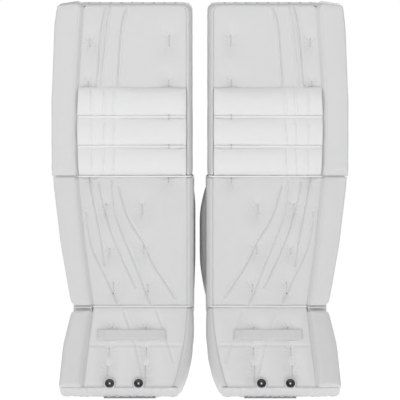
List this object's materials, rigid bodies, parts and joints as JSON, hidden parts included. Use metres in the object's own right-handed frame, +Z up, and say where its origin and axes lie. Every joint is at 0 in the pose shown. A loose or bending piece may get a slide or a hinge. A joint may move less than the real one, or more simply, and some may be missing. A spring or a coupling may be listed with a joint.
{
  "type": "goalie leg pads",
  "caption": "Pair of white ice goalie leg pads with knee rolls, outer rolls, flexing boot and knee breaks, and padded leg channels behind.",
  "frame": {"origin": "on the ice, midway between the two pads and straight below the shins' faces", "axes": "+Z up along the legs, -Y the way the pads face, +X towards the wearer's left pad"},
  "size_m": [0.5796, 0.2435, 0.7737],
  "materials": {
    "face_leather": "smooth semi-gloss synthetic leather",
    "roll_leather": "smooth semi-gloss synthetic leather",
    "knee_roll_leather": "smooth semi-gloss synthetic leather, padded",
    "gusset_leather": "grained synthetic leather",
    "foam_core": "closed-cell foam under a cloth cover",
    "back_nylon": "woven nylon",
    "liner": "padded nylon and soft synthetic suede",
    "strap": "tightly woven webbing",
    "toe_bridge": "moulded, matt",
    "washer": "moulded, semi-gloss",
    "screw_metal": "bright plated"
  },
  "bodies": {
    "right_shin": {"right_shin_core": "foam_core", "right_shin_face": "face_leather", "right_outer_roll_lower": "roll_leather", "right_shin_inner_gusset": "gusset_leather", "right_shin_back_panel": "back_nylon", "right_inner_calf_wall": "liner"},
    "right_upper": {"right_upper_core": "foam_core", "right_thigh_face": "face_leather", "right_knee_roll_bottom": "knee_roll_leather", "right_knee_roll_middle": "knee_roll_leather", "right_knee_roll_top": "knee_roll_leather", "right_outer_roll_upper": "roll_leather", "right_upper_inner_gusset": "gusset_leather", "right_top_gusset": "gusset_leather", "right_upper_back_panel": "back_nylon", "right_knee_stack": "liner"},
    "right_boot": {"right_boot_core": "foam_core", "right_boot_face": "face_leather", "right_boot_bar": "strap", "right_outer_roll_boot": "roll_leather", "right_boot_inner_gusset": "gusset_leather", "right_toe_gusset": "gusset_leather", "right_toe_bridge": "toe_bridge", "right_boot_strap": "strap", "right_toe_screw_inner": "screw_metal", "right_toe_screw_outer": "screw_metal", "right_toe_washer_inner": "washer", "right_toe_washer_outer": "washer"},
    "right_calf_wrap": {"right_calf_wrap": "liner"},
    "right_knee_wrap": {"right_knee_wrap": "liner"},
    "left_shin": {"left_shin_core": "foam_core", "left_shin_face": "face_leather", "left_outer_roll_lower": "roll_leather", "left_shin_inner_gusset": "gusset_leather", "left_shin_back_panel": "back_nylon", "left_inner_calf_wall": "liner"},
    "left_upper": {"left_upper_core": "foam_core", "left_thigh_face": "face_leather", "left_knee_roll_bottom": "knee_roll_leather", "left_knee_roll_middle": "knee_roll_leather", "left_knee_roll_top": "knee_roll_leather", "left_outer_roll_upper": "roll_leather", "left_upper_inner_gusset": "gusset_leather", "left_top_gusset": "gusset_leather", "left_upper_back_panel": "back_nylon", "left_knee_stack": "liner"},
    "left_boot": {"left_boot_core": "foam_core", "left_boot_face": "face_leather", "left_boot_bar": "strap", "left_outer_roll_boot": "roll_leather", "left_boot_inner_gusset": "gusset_leather", "left_toe_gusset": "gusset_leather", "left_toe_bridge": "toe_bridge", "left_boot_strap": "strap", "left_toe_screw_inner": "screw_metal", "left_toe_screw_outer": "screw_metal", "left_toe_washer_inner": "washer", "left_toe_washer_outer": "washer"},
    "left_calf_wrap": {"left_calf_wrap": "liner"},
    "left_knee_wrap": {"left_knee_wrap": "liner"}
  },
  "joints": [
    {"name": "stance_width", "type": "slide", "parent": "right_shin", "child": "left_shin", "axis": [1, 0, 0], "range_m": [0, 0.25]},
    {"name": "right_boot_flex", "type": "hinge", "parent": "right_shin", "child": "right_boot", "pos_m": [-0.15, 0, 0.178], "axis": [1, 0, 0], "range_deg": [-10, 7], "stiffness_Nm_per_rad": 25},
    {"name": "right_knee_flex", "type": "hinge", "parent": "right_shin", "child": "right_upper", "pos_m": [-0.15, 0, 0.432], "axis": [1, 0, 0], "range_deg": [-4, 12], "stiffness_Nm_per_rad": 40},
    {"name": "right_calf_wrap_open", "type": "hinge", "parent": "right_shin", "child": "right_calf_wrap", "pos_m": [-0.247, 0.0685, 0.306], "axis": [0, 0, 1], "range_deg": [0, 90]},
    {"name": "right_knee_wrap_open", "type": "hinge", "parent": "right_upper", "child": "right_knee_wrap", "pos_m": [-0.2465, 0.0553, 0.51283], "axis": [0, -0.1736, 0.9848], "range_deg": [0, 90]},
    {"name": "left_boot_flex", "type": "hinge", "parent": "left_shin", "child": "left_boot", "pos_m": [0.15, 0, 0.178], "axis": [1, 0, 0], "range_deg": [-10, 7], "stiffness_Nm_per_rad": 25},
    {"name": "left_knee_flex", "type": "hinge", "parent": "left_shin", "child": "left_upper", "pos_m": [0.15, 0, 0.432], "axis": [1, 0, 0], "range_deg": [-4, 12], "stiffness_Nm_per_rad": 40},
    {"name": "left_calf_wrap_open", "type": "hinge", "parent": "left_shin", "child": "left_calf_wrap", "pos_m": [0.247, 0.0685, 0.306], "axis": [0, 0, -1], "range_deg": [0, 90]},
    {"name": "left_knee_wrap_open", "type": "hinge", "parent": "left_upper", "child": "left_knee_wrap", "pos_m": [0.2465, 0.0553, 0.51283], "axis": [0, 0.1736, -0.9848], "range_deg": [0, 90]}
  ]
}
